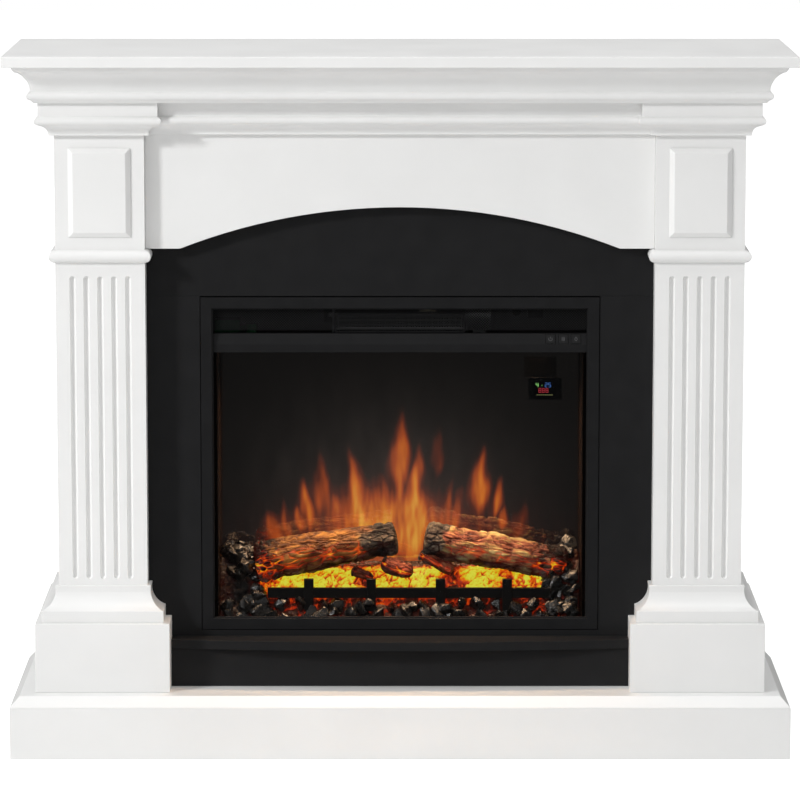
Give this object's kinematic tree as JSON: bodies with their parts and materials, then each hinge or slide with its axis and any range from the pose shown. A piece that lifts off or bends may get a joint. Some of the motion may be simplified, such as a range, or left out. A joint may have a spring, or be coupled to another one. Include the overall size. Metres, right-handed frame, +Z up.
{
  "type": "electric fireplace",
  "caption": "Free-standing electric fireplace: a white mantel surround with fluted legs and an arched frieze round a glass-fronted insert with logs, a flame effect and a fan heater.",
  "frame": {"origin": "middle of the footprint on the floor, which is the bottom centre of the whole object's box", "axes": "+X to the right seen from the front, +Y towards the wall, +Z up"},
  "size_m": [1.12, 0.33, 1.01],
  "materials": {
    "white_lacquer": "white satin lacquer on MDF",
    "black_panel": "black satin laminate on MDF",
    "raw_board": "bare chipboard",
    "case_steel": "grey-black powder coat",
    "cheek_metal": "satin brown-black coat",
    "black_trim": "fine black powder coat",
    "smoked_glass": "smoked toughened glass",
    "button_plastic": "moulded black ABS",
    "circuit_board": "solder mask on glass fibre",
    "display_plastic": "dark display window",
    "duct_steel": "galvanised sheet",
    "heater_alloy": "finned aluminium heater",
    "cutout_ceramic": "ceramic body",
    "impeller_metal": "thin stamped blades",
    "motor_steel": "plated motor can",
    "screen_acrylic": "smoked part-mirror acrylic",
    "reflector_foil": "bright foil vanes",
    "ember_resin": "moulded translucent resin, painted",
    "log_resin": "cast resin log, painted",
    "coal_resin": "cast resin coal, glossy black",
    "grate_iron": "matt black",
    "switch_plastic": "moulded black plastic",
    "screw_steel": "zinc plated"
  },
  "bodies": {
    "fireplace": {"mantel_shelf": "white_lacquer", "crown_front": "white_lacquer", "crown_returns": "white_lacquer", "capitals": "white_lacquer", "bead_rings": "white_lacquer", "raised_panels": "white_lacquer", "base_mouldings": "white_lacquer", "base_blocks": "white_lacquer", "pilaster_front_left": "white_lacquer", "pilaster_front_right": "white_lacquer", "pilaster_outer_sides": "white_lacquer", "pilaster_inner_sides": "white_lacquer", "frieze_panel": "white_lacquer", "frieze_moulding": "white_lacquer", "plinth_top": "white_lacquer", "plinth_front": "white_lacquer", "plinth_sides": "white_lacquer", "back_rails": "white_lacquer", "arch_backboard": "black_panel", "side_panels": "black_panel", "lower_backboard": "black_panel", "hearth_ledge": "black_panel", "hearth_riser": "black_panel", "insert_shelf": "raw_board", "case_bottom": "case_steel", "case_top": "case_steel", "case_sides": "case_steel", "case_back": "case_steel", "heater_shelf": "case_steel", "firebox_cheeks": "cheek_metal", "front_bezel": "black_trim", "front_glass": "smoked_glass", "control_strip": "black_trim", "outlet_grille": "black_trim", "button_board": "circuit_board", "display_module": "display_plastic", "heater_duct": "duct_steel", "heating_element": "heater_alloy", "thermal_cutout": "cutout_ceramic", "blower_housing": "duct_steel", "blower_motor": "motor_steel", "flame_screen": "screen_acrylic", "flame_motor": "motor_steel", "spindle_bearing": "duct_steel", "ember_bed": "ember_resin", "led_boards": "circuit_board", "log_left": "log_resin", "log_right": "log_resin", "kindling": "log_resin", "coals": "coal_resin", "grate": "grate_iron", "control_board": "circuit_board", "inlet_module": "switch_plastic", "case_screws": "screw_steel"},
    "blower_rotor": {"blower_impeller": "impeller_metal"},
    "flame_rotor": {"flame_spindle": "reflector_foil"},
    "power_button": {"button_power": "button_plastic"},
    "heat_button": {"button_heat": "button_plastic"},
    "flame_button": {"button_flame": "button_plastic"},
    "mains_rocker": {"rocker_switch": "switch_plastic"}
  },
  "joints": [
    {"name": "blower_spin", "type": "hinge", "parent": "fireplace", "child": "blower_rotor", "pos_m": [0, 0.035, 0.617], "axis": [1, 0, 0], "continuous": true},
    {"name": "flame_spin", "type": "hinge", "parent": "fireplace", "child": "flame_rotor", "pos_m": [0, 0.088, 0.2652], "axis": [1, 0, 0], "continuous": true},
    {"name": "power_press", "type": "slide", "parent": "fireplace", "child": "power_button", "axis": [0, 0.9815, -0.1912], "range_m": [0, 0.0008], "stiffness_N_per_m": 400, "springref_m": -0.0004},
    {"name": "heat_press", "type": "slide", "parent": "fireplace", "child": "heat_button", "axis": [0, 0.9815, -0.1912], "range_m": [0, 0.0008], "stiffness_N_per_m": 400, "springref_m": -0.0004},
    {"name": "flame_press", "type": "slide", "parent": "fireplace", "child": "flame_button", "axis": [0, 0.9815, -0.1912], "range_m": [0, 0.0008], "stiffness_N_per_m": 400, "springref_m": -0.0004},
    {"name": "mains_rock", "type": "hinge", "parent": "fireplace", "child": "mains_rocker", "pos_m": [0.2, 0.117, 0.6105], "axis": [1, 0, 0], "range_deg": [0, 18]}
  ]
}
